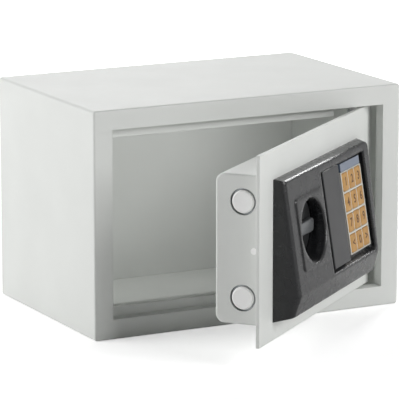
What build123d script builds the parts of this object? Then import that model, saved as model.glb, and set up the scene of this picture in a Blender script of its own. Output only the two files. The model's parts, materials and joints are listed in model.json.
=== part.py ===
from build123d import *
import os
from math import atan2, cos, degrees, hypot, pi, sin

# A small furniture safe: folded steel cabinet, plate door hung on two inner pins, a wedge-shaped
# keypad and knob panel on the door's face, and the bolt-work under a steel cover behind it.
# Millimetres. X to the right, Y to the back, Z up. Origin: centre of the footprint, on the base.
# Every piece of the door is modelled with the door shut, then swung open about the hinge pins.

# Cabinet
WIDTH = 310.0
HEIGHT = 206.0
DEPTH = 200.0
SHEET = 2.0            # cabinet sheet
BEND_R = 2.5           # outside radius of the folded edges
BORDER = 18.0          # width of the front border round the opening
FRAME_SHEET = 1.5      # door frame sheet
RETURN_DEPTH = 12.3    # depth of the frame's return, from the cabinet's front
BOLT_RETURN_DEPTH = 10.3   # the same on the bolt side, where the bolts catch behind it
STOP_WIDTH = 8.8       # how far the stop flange stands into the opening
STOP_HEM = 8.5         # depth of the hem behind the stop flange
STOP_END_CLEAR = 19.0  # the stops end this far short of the hinge axis
ANCHOR_R = 5.25
ANCHOR_PITCH = 180.0
REAR_ANCHOR_Z = 50.0

# Door
DOOR_ANGLE = 39.4      # how far the door stands open at rest
DOOR_T = 3.5
DOOR_RECESS = 0.5      # door face behind the cabinet's front
GAP_LOCK_SIDE = 1.2
GAP_HINGE_SIDE = 1.8
GAP_TOP_BOTTOM = 1.8
HINGE_INSET = 24.5     # hinge axis from the door's hinge-side edge
HINGE_BEHIND = 8.0     # hinge axis behind the door's face
PIN_R = 3.0
PIN_CLEAR = 0.05
BUSH_WALL = 1.6
STOP_RAIL_CLEAR = 0.3

# Front panel, heights measured from the door's lower edge
PANEL_FROM_LEFT = 30.3
PANEL_WIDTH = 210.0
PANEL_BASE = 15.8
PANEL_HEIGHT = 124.9
PANEL_TOP_DEPTH = 10.0
PANEL_TOP_DROP = 1.5
PANEL_KNEE_DEPTH = 25.4
PANEL_KNEE_UP = 24.8
PANEL_FOOT_DEPTH = 19.2
PANEL_FOOT_UP = 5.6
PANEL_WALL = 2.5
PANEL_SIDE_DRAFT = 0.6   # hinge-side wall leans in this much for each millimetre of depth
PANEL_EDGE_R = 4.0
PANEL_CORNER_R = 7.0

# Places on the panel's sloping face: U from its left edge, V down from its top edge
POCKET_U = (83.4, 191.0)
POCKET_V = (6.8, 94.8)
POCKET_DEEP = 6.2
POCKET_FLOOR = 1.8
STRIP_U = (86.8, 125.4)
STRIP_V = (7.6, 94.2)
STRIP_PROUD = 0.3
STRIP_WALL = 1.2
KEYPAD_U0 = 136.2
KEYPAD_V0 = 17.2
KEY_PITCH_U = 15.8
KEY_PITCH_V = 18.5
KEYPAD_MARGIN = 1.2
KEY_GAP = 0.3
KEY_WEB_U = 0.9
KEY_WEB_V = 1.5
KEY_TRAVEL = 1.0
KEYPAD_SUNK = 2.4
KEY_PROUD = 0.6
LED_WINDOW_V = (9.4, 16.8)
LED_R = 1.5
KNOB_U = 48.8
KNOB_V = 51.0
BEZEL_U = (17.8, 79.8)
BEZEL_V = (19.0, 82.0)
BEZEL_PROUD = 1.0

# Knob
WELL_R = 28.0
KNOB_R = 26.6
KNOB_BASE_T = 2.6
BAR_LENGTH = 46.0
BAR_WIDTH = 14.0
BAR_FRONT = 10.2        # bar's front face, in front of the door's face
KNOB_FLOAT = 2.6        # knob base above the door's face
SHAFT_R = 4.0
SHAFT_CLEAR = 0.05

# Bolt-work, depths measured back from the door's face
BOLT_R = 10.0
BOLT_DEPTH = 21.0
BOLT_PITCH = 84.0
BOLT_LENGTH = 48.0
BOLT_PROUD = 1.0        # bolt tips out of the cover when drawn back
BOLT_THROW = 22.06
BOLT_CLEAR = 0.06
PLATE_T = 2.5
CRANK_T = 3.0
CRANK_DEPTH = 8.0
CRANK_PIN_R = 3.0
CRANK_SLOT_CLEAR = 0.6
STUD_R = 3.0
STUD_SLOT_CLEAR = 0.1

# Cover behind the door
COVER_FROM_LEFT = 14.3
COVER_WIDTH = 211.0
COVER_HEIGHT = 131.0
COVER_BACK = 46.5       # back of the cover behind the door's face
COVER_T = 1.2
COVER_CORNER_R = 8.0
BOLT_HOLE_R = 11.75

# Small parts
SCREW_R = 1.5
PAN_HEAD_R = 2.8        # screw heads behind the door and beside the cover
SHAFT_BUSH_R = 6.0
GROMMET_R = 6.0
WIRE_R = 2.0
KEY_STEM_R = 1.5
BOARD_T = 1.6
BOARD_V = (10.8, 91.6)  # circuit board, down the panel's face
POCKET_LIP = 3.4        # the pocket's lower wall slopes out by this much
RIVET_R = 2.0
PLUNGER_R = 2.5
COVER_SCREW_DEPTH = 10.5
RESET_R = 3.5
CELL_R = 7.1
CELL_LENGTH = 50.0
LOCK_PLUG_R = 5.5
LOCK_SUNK = 2.9         # lock's front behind the panel's face, measured at its centre
SLOT_LENGTH = 18.0      # slot in each bolt for the bolt plate
LOCK_R = 8.5
WORK_UP = 81.0          # centre of the bolt-work and its cover above the door's lower edge

# Derived places
OPEN_W = WIDTH - 2 * BORDER
OPEN_H = HEIGHT - 2 * BORDER
FRONT_Y = -DEPTH / 2
FACE_Y = FRONT_Y + DOOR_RECESS
DOOR_X0 = -OPEN_W / 2 + GAP_LOCK_SIDE
DOOR_X1 = OPEN_W / 2 - GAP_HINGE_SIDE
DOOR_Z0 = BORDER + GAP_TOP_BOTTOM
DOOR_Z1 = HEIGHT - BORDER - GAP_TOP_BOTTOM
HINGE_X = DOOR_X1 - HINGE_INSET
HINGE_Y = FACE_Y + HINGE_BEHIND
MID_Z = HEIGHT / 2
WORK_Z = DOOR_Z0 + WORK_UP
PANEL_X0 = DOOR_X0 + PANEL_FROM_LEFT
PANEL_X1 = PANEL_X0 + PANEL_WIDTH
PANEL_Z0 = DOOR_Z0 + PANEL_BASE
PANEL_Z1 = PANEL_Z0 + PANEL_HEIGHT
KNEE_Z = PANEL_Z0 + PANEL_KNEE_UP
FOOT_Z = PANEL_Z0 + PANEL_FOOT_UP
FACE_TOP_Z = PANEL_Z1 - PANEL_TOP_DROP
FACE_TILT = atan2(PANEL_KNEE_DEPTH - PANEL_TOP_DEPTH, FACE_TOP_Z - KNEE_Z)
FACE_LENGTH = hypot(PANEL_KNEE_DEPTH - PANEL_TOP_DEPTH, FACE_TOP_Z - KNEE_Z)
FACE = Plane(
    origin=(PANEL_X0, FACE_Y - PANEL_TOP_DEPTH, FACE_TOP_Z),
    x_dir=(1, 0, 0),
    z_dir=(0, -cos(FACE_TILT), sin(FACE_TILT)),
)
KNOB_X = PANEL_X0 + KNOB_U
KNOB_Z = FACE_TOP_Z - KNOB_V * cos(FACE_TILT)
CRANK_R = BOLT_THROW / (2 * sin(pi / 4))
COVER_X0 = DOOR_X0 + COVER_FROM_LEFT
COVER_X1 = COVER_X0 + COVER_WIDTH
BOLT_ZS = (WORK_Z - BOLT_PITCH / 2, WORK_Z + BOLT_PITCH / 2)
BOLT_TIP_X = COVER_X0 - BOLT_PROUD
BOLT_END_X = BOLT_TIP_X + BOLT_LENGTH
LOCK_X = PANEL_X0 + (STRIP_U[0] + STRIP_U[1]) / 2
LOCK_Z = WORK_Z + 5.0
HINGE_AXIS = Axis((HINGE_X, HINGE_Y, 0), (0, 0, 1))
BOARD_TOP = -POCKET_DEEP - POCKET_FLOOR - 0.3
STUD_X = KNOB_X - 4.0
STUD_ZS = (WORK_Z - 36.0, WORK_Z + 34.0)
PLATE_X1 = STUD_X + BOLT_THROW + 9.0
PLUNGER_X = PLATE_X1 + 8.0
PLUNGER_Z = WORK_Z - 15.0
RESET_X = COVER_X1 - 16.0
RESET_Z = WORK_Z + 44.0
LOCK_FRONT = -(PANEL_TOP_DEPTH + (FACE_TOP_Z - LOCK_Z) * sin(FACE_TILT) / cos(FACE_TILT)) + LOCK_SUNK
LOCK_BACK = DOOR_T + 11.0
SOLENOID_FRONT = BOLT_DEPTH + PLATE_T / 2 + 2.0
SOLENOID_BACK = SOLENOID_FRONT + 17.0
GROMMET_X = PANEL_X0 + 160.0
GROMMET_Z = WORK_Z + 14.0
KEY_NAMES = (("1", "2", "3"), ("4", "5", "6"), ("7", "8", "9"), ("left", "0", "right"))


def block(x, y, z):
    """Solid box between the limits given for each axis."""
    size = [b - a for a, b in (x, y, z)]
    centre = [(a + b) / 2 for a, b in (x, y, z)]
    return Pos(*centre) * Box(*size)


def deep(d0, d1):
    """Y limits of a stretch between two depths behind the door's face."""
    return (FACE_Y + d0, FACE_Y + d1)


def rod_y(x, z, d0, d1, r):
    """Round bar along Y between two depths behind the door's face."""
    return Pos(x, FACE_Y + (d0 + d1) / 2, z) * Rot(90, 0, 0) * Cylinder(r, d1 - d0)


def rod_x(x0, x1, y, z, r):
    """Round bar along X."""
    return Pos((x0 + x1) / 2, y, z) * Rot(0, 90, 0) * Cylinder(r, x1 - x0)


def rod_z(x, y, z0, z1, r):
    """Round bar along Z."""
    return Pos(x, y, (z0 + z1) / 2) * Cylinder(r, z1 - z0)


def slot_y(x0, x1, z, d0, d1, r):
    """Round-ended slot along X, cut along Y."""
    mid = block((x0, x1), deep(d0, d1), (z - r, z + r))
    return mid + rod_y(x0, z, d0, d1, r) + rod_y(x1, z, d0, d1, r)


def face_block(u, v, h, r=0.0):
    """Box on the panel's sloping face, h measured outwards, with its long corners rounded."""
    width = u[1] - u[0]
    tall = v[1] - v[0]
    place = FACE * Pos((u[0] + u[1]) / 2, -(v[0] + v[1]) / 2, h[0])
    outline = RectangleRounded(width, tall, r) if r else Rectangle(width, tall)
    return extrude(place * outline, h[1] - h[0])


def face_rod(u, v, h, r):
    """Round bar standing square on the panel's sloping face."""
    return FACE * Pos(u, -v, (h[0] + h[1]) / 2) * Cylinder(r, h[1] - h[0])


def body_shell():
    """Folded wrap: roof, floor, sides and the front border in one sheet."""
    outline = Plane.XZ * RectangleRounded(WIDTH, HEIGHT, BEND_R)
    solid = Pos(0, DEPTH / 2, MID_Z) * extrude(outline, DEPTH)
    front = solid.faces().sort_by(Axis.Y)[0]
    solid = fillet(front.edges(), BEND_R - 0.6)
    inner = Plane.XZ * RectangleRounded(WIDTH - 2 * SHEET, HEIGHT - 2 * SHEET, BEND_R - SHEET)
    solid -= Pos(0, DEPTH / 2, MID_Z) * extrude(inner, DEPTH - SHEET)
    solid -= block((-OPEN_W / 2, OPEN_W / 2), (FRONT_Y - 1, FRONT_Y + SHEET + 1),
                   (BORDER, HEIGHT - BORDER))
    for sign in (-1, 1):
        solid -= rod_z(sign * ANCHOR_PITCH / 2, 0, -1, SHEET + 1, ANCHOR_R)
    return solid


def back_panel():
    """Flat back welded inside the wrap, with two holes for wall anchors."""
    outline = Plane.XZ * RectangleRounded(WIDTH - 2 * SHEET, HEIGHT - 2 * SHEET, BEND_R - SHEET)
    solid = Pos(0, DEPTH / 2, MID_Z) * extrude(outline, SHEET)
    for sign in (-1, 1):
        hole = Pos(sign * ANCHOR_PITCH / 2, DEPTH / 2, REAR_ANCHOR_Z) * Rot(90, 0, 0)
        solid -= hole * Cylinder(ANCHOR_R, 4 * SHEET)
    return solid


def stop_rail(top):
    """Z-section along the head or the sill: return, stop flange, hem and foot."""
    t = FRAME_SHEET
    edge = HEIGHT - BORDER if top else BORDER
    wall = HEIGHT - SHEET if top else SHEET
    out = 1 if top else -1
    stop_y = FRONT_Y + RETURN_DEPTH
    hem_y = stop_y + STOP_HEM
    right = HINGE_X - STOP_END_CLEAR
    half = OPEN_W / 2
    tip = edge - out * STOP_WIDTH

    def span(a, b):
        return (min(a, b), max(a, b))

    rail = block((-half - t, half + t), (FRONT_Y + SHEET, stop_y), span(edge, edge + out * t))
    rail += block((-half, right), (stop_y - t, stop_y), span(tip, edge + out * t))
    rail += block((-half, right), (stop_y - t, hem_y), span(tip, tip + out * t))
    rail += block((-half, right), (hem_y - t, hem_y), span(tip, wall))
    return rail


def door_frame():
    """Returns and stops behind the front border, bored for the hinge bushes."""
    t = FRAME_SHEET
    half = OPEN_W / 2
    y0 = FRONT_Y + SHEET
    tall = (BORDER - t, HEIGHT - BORDER + t)
    frame = stop_rail(True) + stop_rail(False)
    frame += block((-half - t, -half), (y0, FRONT_Y + BOLT_RETURN_DEPTH), tall)
    frame += block((half, half + t), (y0, FRONT_Y + RETURN_DEPTH), tall)
    for z in (BORDER, HEIGHT - BORDER):
        frame -= rod_z(HINGE_X, HINGE_Y, z - 4, z + 4, PIN_R + PIN_CLEAR + BUSH_WALL)
    return frame


def hinge_bushes():
    """A flanged bush in the head and one in the sill, flange on the hidden side."""
    t = FRAME_SHEET
    bushes = []
    for z, out in ((BORDER, -1), (HEIGHT - BORDER, 1)):
        outer = PIN_R + PIN_CLEAR + BUSH_WALL
        ends = sorted((z, z + out * t))
        flange = sorted((z + out * t, z + out * (t + 1.2)))
        bush = rod_z(HINGE_X, HINGE_Y, ends[0], ends[1], outer)
        bush += rod_z(HINGE_X, HINGE_Y, flange[0], flange[1], outer + 1.5)
        bush -= rod_z(HINGE_X, HINGE_Y, z - 6, z + 6, PIN_R + PIN_CLEAR)
        bushes.append(bush)
    return bushes


def door_plate():
    """Flat door with clearance holes for the knob, key lock, wiring and panel screws."""
    plate = block((DOOR_X0, DOOR_X1), deep(0, DOOR_T), (DOOR_Z0, DOOR_Z1))
    plate = fillet(plate.edges().filter_by(Axis.Z), 0.8)
    plate -= rod_y(KNOB_X, KNOB_Z, -1, DOOR_T + 1, SHAFT_BUSH_R)
    plate -= rod_y(LOCK_X, LOCK_Z, -1, DOOR_T + 1, LOCK_R)
    plate -= rod_y(GROMMET_X, GROMMET_Z, -1, DOOR_T + 1, GROMMET_R)
    for x, z in panel_screw_places():
        plate -= rod_y(x, z, -1, DOOR_T + 1, SCREW_R)
    return plate


def panel_screw_places():
    """Four screws, one near each corner of the panel."""
    xs = (PANEL_X0 + 8.5, PANEL_X1 - 26.0)
    zs = (PANEL_Z0 + 12.0, PANEL_Z1 - 5.5)
    return [(x, z) for x in xs for z in zs]


def panel_profile(inset):
    """Side view of the panel, drawn inside its walls by the inset."""
    pts = [
        (0.0, PANEL_Z0 + inset),
        (-(PANEL_FOOT_DEPTH - inset), FOOT_Z + inset),
        (-(PANEL_KNEE_DEPTH - inset * 1.05), KNEE_Z + inset * 0.1),
        (-(PANEL_TOP_DEPTH - inset), FACE_TOP_Z - inset),
        (0.0, PANEL_Z1 - inset * 1.05),
    ]
    return [(FACE_Y + y, z) for y, z in pts]


def panel_wedge(inset):
    """Wedge body between the side walls, the hinge side leaning in."""
    line = Polyline(*[(0, y, z) for y, z in panel_profile(inset)], close=True)
    wedge = extrude(make_face(line), PANEL_WIDTH - 2 * inset, dir=(1, 0, 0))
    wedge = Pos(PANEL_X0 + inset, 0, 0) * wedge
    lean = degrees(atan2(PANEL_SIDE_DRAFT, 1.0))
    knife = Pos(100, 0, 0) * Box(200, 400, 400)
    knife = Pos(PANEL_X1 - inset, FACE_Y, MID_Z) * Rot(0, 0, -lean) * knife
    return wedge - knife


def panel_housing():
    """Moulded wedge: hollow shell with knob well, pocket, bosses and a raised bezel."""
    body = panel_wedge(0.0)
    corner = body.edges().filter_by(lambda e: e.center().Z > FACE_TOP_Z + 0.5)
    corner = corner.filter_by(lambda e: e.center().X > PANEL_X1 - 8 and e.center().Y < FACE_Y - 1)
    body = fillet(corner, PANEL_CORNER_R)
    left = body.edges().filter_by(lambda e: abs(e.center().X - PANEL_X0) < 0.01)
    left = left.filter_by(lambda e: e.center().Y < FACE_Y - 5 and e.center().Z < FACE_TOP_Z - 5)
    left = left.filter_by(lambda e: abs(e.tangent_at(0.5).Z) > 0.3)
    body = fillet(left, PANEL_EDGE_R)
    body += face_block(BEZEL_U, BEZEL_V, (-1.0, BEZEL_PROUD), 3.0)
    hollow = panel_wedge(PANEL_WALL)
    hollow -= face_block((POCKET_U[0] - POCKET_FLOOR, POCKET_U[1] + POCKET_FLOOR),
                         (POCKET_V[0] - POCKET_FLOOR, POCKET_V[1] + 8),
                         (-POCKET_DEEP - POCKET_FLOOR, 0))
    hollow -= rod_y(KNOB_X, KNOB_Z, -40, 0, WELL_R + 2.0)
    for x, z in panel_screw_places():
        hollow -= rod_y(x, z, -40, 0, 3.0)
    body -= hollow
    body -= rod_y(KNOB_X, KNOB_Z, -60, -2.0, WELL_R)
    body -= rod_y(KNOB_X, KNOB_Z, -10, 1, SHAFT_BUSH_R + 1.5)
    body -= pocket_cut()
    body -= rod_y(LOCK_X, LOCK_Z, -40, 1, LOCK_R)
    for row in range(4):
        for col in range(3):
            u, v = key_centre(row, col)
            body -= face_rod(u, v, (-POCKET_DEEP - 4, -POCKET_DEEP + 1), KEY_STEM_R + 0.4)
    for u in led_places():
        body -= face_rod(u, led_v(), (-POCKET_DEEP - 4, -POCKET_DEEP + 1), LED_R + 0.2)
    for x, z in panel_screw_places():
        body -= rod_y(x, z, -6.0, 1, SCREW_R)
    return body


def pocket_cut():
    """Pocket for the strip and the keypad, its lower wall sloping out as a lip."""
    u0, u1 = POCKET_U
    v0, v1 = POCKET_V
    slope = POCKET_LIP
    pts = [(v0, 2), (v0, -POCKET_DEEP), (v1, -POCKET_DEEP), (v1 + slope, 0), (v1 + slope, 2)]
    line = Polyline(*[FACE.from_local_coords((u0, -v, h)) for v, h in pts], close=True)
    return extrude(make_face(line), u1 - u0, dir=(1, 0, 0))


def key_centre(row, col):
    """U and V of a key, row 0 at the top and column 0 on the left."""
    return (KEYPAD_U0 + (col + 0.5) * KEY_PITCH_U, KEYPAD_V0 + (row + 0.5) * KEY_PITCH_V)


def led_places():
    """U of the three lamps, one above each column of keys."""
    return [key_centre(0, col)[0] for col in range(3)]


def led_v():
    return (LED_WINDOW_V[0] + LED_WINDOW_V[1]) / 2


def keypad_frame():
    """Plate with a window round each key."""
    wide = 3 * KEY_PITCH_U
    tall = 4 * KEY_PITCH_V
    m = KEYPAD_MARGIN
    frame = face_block((KEYPAD_U0 - m, KEYPAD_U0 + wide + m), (KEYPAD_V0, KEYPAD_V0 + tall),
                       (-POCKET_DEEP, -KEYPAD_SUNK))
    for row in range(4):
        for col in range(3):
            u, v = key_centre(row, col)
            du = (KEY_PITCH_U - KEY_WEB_U) / 2
            dv = (KEY_PITCH_V - KEY_WEB_V) / 2
            frame -= face_block((u - du, u + du), (v - dv, v + dv),
                                (-POCKET_DEEP - 1, -KEYPAD_SUNK + 1), 1.2)
    return frame


def key_cap(row, col):
    """Key with a softly rounded top and a stem that reaches the circuit board."""
    u, v = key_centre(row, col)
    du = (KEY_PITCH_U - KEY_WEB_U) / 2 - KEY_GAP
    dv = (KEY_PITCH_V - KEY_WEB_V) / 2 - KEY_GAP
    low = -POCKET_DEEP + KEY_TRAVEL + 0.2
    cap = face_block((u - du, u + du), (v - dv, v + dv), (low, -KEYPAD_SUNK + KEY_PROUD), 1.0)
    top = cap.faces().sort_by(lambda f: f.center().Y)[0]
    cap = chamfer(top.edges(), 0.4)
    return cap + face_rod(u, v, (BOARD_TOP + KEY_TRAVEL + 0.2, low), KEY_STEM_R)


def led_window():
    """Clear strip over the three lamps."""
    wide = 3 * KEY_PITCH_U
    window = face_block((KEYPAD_U0, KEYPAD_U0 + wide), LED_WINDOW_V,
                        (-POCKET_DEEP, -KEYPAD_SUNK))
    for u in led_places():
        window -= face_rod(u, led_v(), (-POCKET_DEEP - 1, -KEYPAD_SUNK - 0.8), LED_R + 0.2)
    return window


def leds():
    """Three domed lamps standing on the circuit board."""
    lamps = []
    for u in led_places():
        lamp = face_rod(u, led_v(), (BOARD_TOP, -KEYPAD_SUNK - 1.1), LED_R)
        tip = lamp.faces().sort_by(lambda f: f.center().Y)[0]
        lamps.append(chamfer(tip.edges(), LED_R * 0.4))
    return lamps


def circuit_board():
    """Keypad board behind the pocket's floor."""
    wide = 3 * KEY_PITCH_U
    low = BOARD_TOP - BOARD_T
    board = face_block((KEYPAD_U0 - 1, KEYPAD_U0 + wide + 1), BOARD_V, (low, BOARD_TOP))
    return board


def strip_cover():
    """Lift-off cover of the key lock: a shallow tray, open behind."""
    cover = face_block(STRIP_U, STRIP_V, (-POCKET_DEEP + 0.3, STRIP_PROUD), 1.5)
    top = cover.faces().sort_by(lambda f: f.center().Y)[0]
    cover = fillet(top.edges(), 0.8)
    w = STRIP_WALL
    cover -= face_block((STRIP_U[0] + w, STRIP_U[1] - w), (STRIP_V[0] + w, STRIP_V[1] - w),
                        (-POCKET_DEEP - 1, STRIP_PROUD - w))
    return cover


def knob():
    """Turning disc with a waisted grip bar across it, in the bottom of the well."""
    base = rod_y(KNOB_X, KNOB_Z, -KNOB_FLOAT - KNOB_BASE_T, -KNOB_FLOAT, KNOB_R)
    half = BAR_LENGTH / 2
    w = BAR_WIDTH / 2
    waist = 1.2
    side = ThreePointArc((-half, 0, w), (0, 0, w - waist), (half, 0, w))
    end = ThreePointArc((half, 0, w), (half + 1.5, 0, 0), (half, 0, -w))
    low = ThreePointArc((half, 0, -w), (0, 0, -w + waist), (-half, 0, -w))
    near = ThreePointArc((-half, 0, -w), (-half - 1.5, 0, 0), (-half, 0, w))
    outline = make_face(side + end + low + near)
    tall = BAR_FRONT - KNOB_FLOAT
    bar = Pos(KNOB_X, FACE_Y - KNOB_FLOAT, KNOB_Z) * extrude(outline, tall, dir=(0, -1, 0))
    top = bar.faces().sort_by(Axis.Y)[0]
    bar = chamfer(top.edges(), 1.2)
    hub = rod_y(KNOB_X, KNOB_Z, -KNOB_FLOAT, -0.4, SHAFT_BUSH_R + 1.0)
    body = base + bar + hub
    body -= rod_y(KNOB_X, KNOB_Z, -BAR_FRONT + 3.0, 1, SHAFT_R)
    return body


def knob_shaft():
    """Steel spindle from the knob to the crank."""
    return rod_y(KNOB_X, KNOB_Z, -BAR_FRONT + 3.0, CRANK_DEPTH + CRANK_T, SHAFT_R)


def shaft_bush():
    """Bush in the door that the spindle turns in."""
    bush = rod_y(KNOB_X, KNOB_Z, 0, DOOR_T + 2.5, SHAFT_BUSH_R)
    bush += rod_y(KNOB_X, KNOB_Z, DOOR_T, DOOR_T + 2.5, SHAFT_BUSH_R + 2.5)
    return bush - rod_y(KNOB_X, KNOB_Z, -1, DOOR_T + 4, SHAFT_R + SHAFT_CLEAR)


def crank():
    """Pear-shaped crank on the spindle, its pin up and to the hinge side at rest."""
    px = KNOB_X + CRANK_R * sin(pi / 4)
    pz = KNOB_Z + CRANK_R * cos(pi / 4)
    d0 = CRANK_DEPTH
    d1 = CRANK_DEPTH + CRANK_T
    hub = rod_y(KNOB_X, KNOB_Z, d0, d1, SHAFT_R + 4.5)
    eye = rod_y(px, pz, d0, d1, CRANK_PIN_R + 2.0)
    arm = Box(CRANK_R, CRANK_T, 2 * (CRANK_PIN_R + 2.0))
    middle = Pos((KNOB_X + px) / 2, FACE_Y + (d0 + d1) / 2, (KNOB_Z + pz) / 2)
    arm = middle * Rot(0, -45, 0) * arm
    pin = rod_y(px, pz, d1, BOLT_DEPTH + PLATE_T / 2 + 2.5, CRANK_PIN_R)
    return hub + eye + arm + pin - rod_y(KNOB_X, KNOB_Z, d0 - 1, d1 + 1, SHAFT_R)


def locking_bolts():
    """Two round bolts, slotted behind for the bolt plate, tips chamfered."""
    bolts = []
    for z in BOLT_ZS:
        bolt = rod_x(BOLT_TIP_X, BOLT_END_X, FACE_Y + BOLT_DEPTH, z, BOLT_R)
        tip = bolt.faces().sort_by(Axis.X)[0]
        bolt = chamfer(tip.edges(), 1.2)
        bolt -= block((BOLT_END_X - SLOT_LENGTH, BOLT_END_X + 1),
                      deep(BOLT_DEPTH - PLATE_T / 2, BOLT_DEPTH + PLATE_T / 2),
                      (z - BOLT_R - 1, z + BOLT_R + 1))
        for x in rivet_xs():
            bolt -= rod_y(x, z, BOLT_DEPTH - BOLT_R, BOLT_DEPTH + BOLT_R, RIVET_R)
        bolts.append(bolt)
    return bolts


def rivet_xs():
    return (BOLT_END_X - 6.0, BOLT_END_X - 15.0)


def bolt_rivets():
    """Cross pins that hold the bolts on their plate."""
    pins = []
    for z in BOLT_ZS:
        for x in rivet_xs():
            pins.append(rod_y(x, z, BOLT_DEPTH - 8.0, BOLT_DEPTH + 8.0, RIVET_R))
    return pins


def bolt_plate():
    """Sliding plate that joins both bolts: stud slots, crank slot and two lock holes."""
    d0 = BOLT_DEPTH - PLATE_T / 2
    d1 = BOLT_DEPTH + PLATE_T / 2
    x0 = BOLT_END_X - SLOT_LENGTH
    plate = block((x0, PLATE_X1), deep(d0, d1), (BOLT_ZS[0] - 12, BOLT_ZS[1] + 12))
    plate = fillet(plate.edges().filter_by(Axis.Y), 6.0)
    tab_end = PLUNGER_X + BOLT_THROW + 8.0
    plate += block((PLATE_X1 - 8, tab_end), deep(d0, d1), (PLUNGER_Z - 8, PLUNGER_Z + 8))
    plate -= block((x0 + 14, STUD_X - 8), deep(d0 - 1, d1 + 1), (BOLT_ZS[0] + 22, BOLT_ZS[1] - 22))
    r = STUD_R + STUD_SLOT_CLEAR
    for z in STUD_ZS:
        plate -= slot_y(STUD_X, STUD_X + BOLT_THROW, z, d0 - 1, d1 + 1, r)
    pin_x = KNOB_X + CRANK_R * sin(pi / 4)
    half = CRANK_PIN_R + CRANK_SLOT_CLEAR
    low = KNOB_Z + CRANK_R * cos(pi / 4)
    high = KNOB_Z + CRANK_R
    plate -= block((pin_x - half, pin_x + half), deep(d0 - 1, d1 + 1), (low - half, high + half))
    for x in (PLUNGER_X, PLUNGER_X + BOLT_THROW):
        plate -= rod_y(x, PLUNGER_Z, d0 - 1, d1 + 1, PLUNGER_R + 0.3)
    for z in BOLT_ZS:
        for x in rivet_xs():
            plate -= rod_y(x, z, d0 - 1, d1 + 1, RIVET_R)
    return plate


def carriage_studs():
    """Shouldered studs welded to the door that the plate slides on."""
    studs = []
    d0 = BOLT_DEPTH - PLATE_T / 2
    d1 = BOLT_DEPTH + PLATE_T / 2
    for z in STUD_ZS:
        stud = rod_y(STUD_X, z, DOOR_T, d0 - 0.1, STUD_R + 2.0)
        stud += rod_y(STUD_X, z, d0 - 0.1, d1 + 1.4, STUD_R)
        stud += rod_y(STUD_X, z, d1 + 0.1, d1 + 1.4, STUD_R + 3.0)
        studs.append(stud)
    return studs


def bolt_guides():
    """Two angle brackets on the door, each with a running hole for a bolt."""
    guides = []
    x0 = COVER_X0 + 3.0
    for z in BOLT_ZS:
        z0, z1 = z - 14.0, z + 14.0
        wall = block((x0, x0 + 2.5), deep(DOOR_T, BOLT_DEPTH + 14.0), (z0, z1))
        wall = fillet(wall.edges().filter_by(Axis.X).group_by(Axis.Y)[-1], 6.0)
        foot = block((x0, x0 + 12.0), deep(DOOR_T, DOOR_T + 3.0), (z0, z1))
        guide = wall + foot
        guide -= rod_x(x0 - 1, x0 + 4, FACE_Y + BOLT_DEPTH, z, BOLT_R + BOLT_CLEAR)
        guides.append(guide)
    return guides


def bolt_cover():
    """Drawn steel cover over the bolt-work, with bolt holes, battery and reset windows."""
    z0 = WORK_Z - COVER_HEIGHT / 2
    z1 = WORK_Z + COVER_HEIGHT / 2

    def tray(inset):
        shape = block((COVER_X0 + inset, COVER_X1 - inset), deep(DOOR_T, COVER_BACK - inset),
                      (z0 + inset, z1 - inset))
        back = shape.edges().filter_by(Axis.X).group_by(Axis.Y)[-1]
        shape = fillet(back, COVER_CORNER_R - inset)
        ends = shape.faces().filter_by(Axis.X)
        rims = [e for f in ends for e in f.edges() if e.center().Y > FACE_Y + DOOR_T + 0.5]
        return fillet(rims, 2.0 - inset) if inset < 1.9 else shape

    cover = tray(0.0) - tray(COVER_T)
    for z in BOLT_ZS:
        cover -= rod_x(COVER_X0 - 1, COVER_X0 + COVER_T + 1, FACE_Y + BOLT_DEPTH, z, BOLT_HOLE_R)
    bx, bz = battery_box_limits()
    cover -= block((bx[0] + 2, bx[1] - 2), deep(COVER_BACK - 5, COVER_BACK + 1),
                   (bz[0] + 2, bz[1] - 2))
    cover -= rod_y(RESET_X, RESET_Z, COVER_BACK - 5, COVER_BACK + 1, RESET_R + 0.4)
    for x in (COVER_X0 + COVER_T / 2, COVER_X1 - COVER_T / 2):
        cover -= rod_x(x - 2, x + 2, FACE_Y + COVER_SCREW_DEPTH, WORK_Z, SCREW_R)
    return cover


def battery_box_limits():
    """X and Z limits of the battery box's outside."""
    wide = 4 * (2 * CELL_R + 0.5) + 3.5
    x1 = COVER_X1 - 12.0
    tall = CELL_LENGTH + 8.0
    return (x1 - wide, x1), (WORK_Z + 4 - tall, WORK_Z + 4)


def battery_box():
    """Open tray for four cells, seated against the inside of the cover."""
    bx, bz = battery_box_limits()
    back = COVER_BACK - COVER_T
    box = block(bx, deep(back - 18.0, back), bz)
    box -= block((bx[0] + 1.5, bx[1] - 1.5), deep(back - 16.5, back + 1), (bz[0] + 1.5, bz[1] - 1.5))
    return box


def batteries():
    """Four cells side by side, each with its raised end."""
    bx, bz = battery_box_limits()
    cells = []
    y = FACE_Y + COVER_BACK - COVER_T - 16.4 + CELL_R
    for i in range(4):
        x = bx[0] + 2.0 + CELL_R + i * (2 * CELL_R + 0.4)
        up = i % 2 == 0
        z0 = bz[0] + 2.8 if up else bz[0] + 3.8
        cell = rod_z(x, y, z0, z0 + CELL_LENGTH - 1.2, CELL_R)
        nub = z0 + CELL_LENGTH - 1.2 if up else z0 - 1.0
        cell += rod_z(x, y, nub, nub + 1.0, 2.6)
        cells.append(cell)
    return cells


def battery_contacts():
    """Spring-steel contact strips at both ends of the cells."""
    bx, bz = battery_box_limits()
    back = COVER_BACK - COVER_T
    strips = []
    for z in (bz[0] + 1.5, bz[1] - 2.0):
        for u0, u1 in ((2.5, 15.0), (17.0, 44.0), (46.0, bx[1] - bx[0] - 2.5)):
            strips.append(block((bx[0] + u0, bx[0] + u1), deep(back - 15.5, back - 5), (z, z + 0.5)))
    return strips


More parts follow.
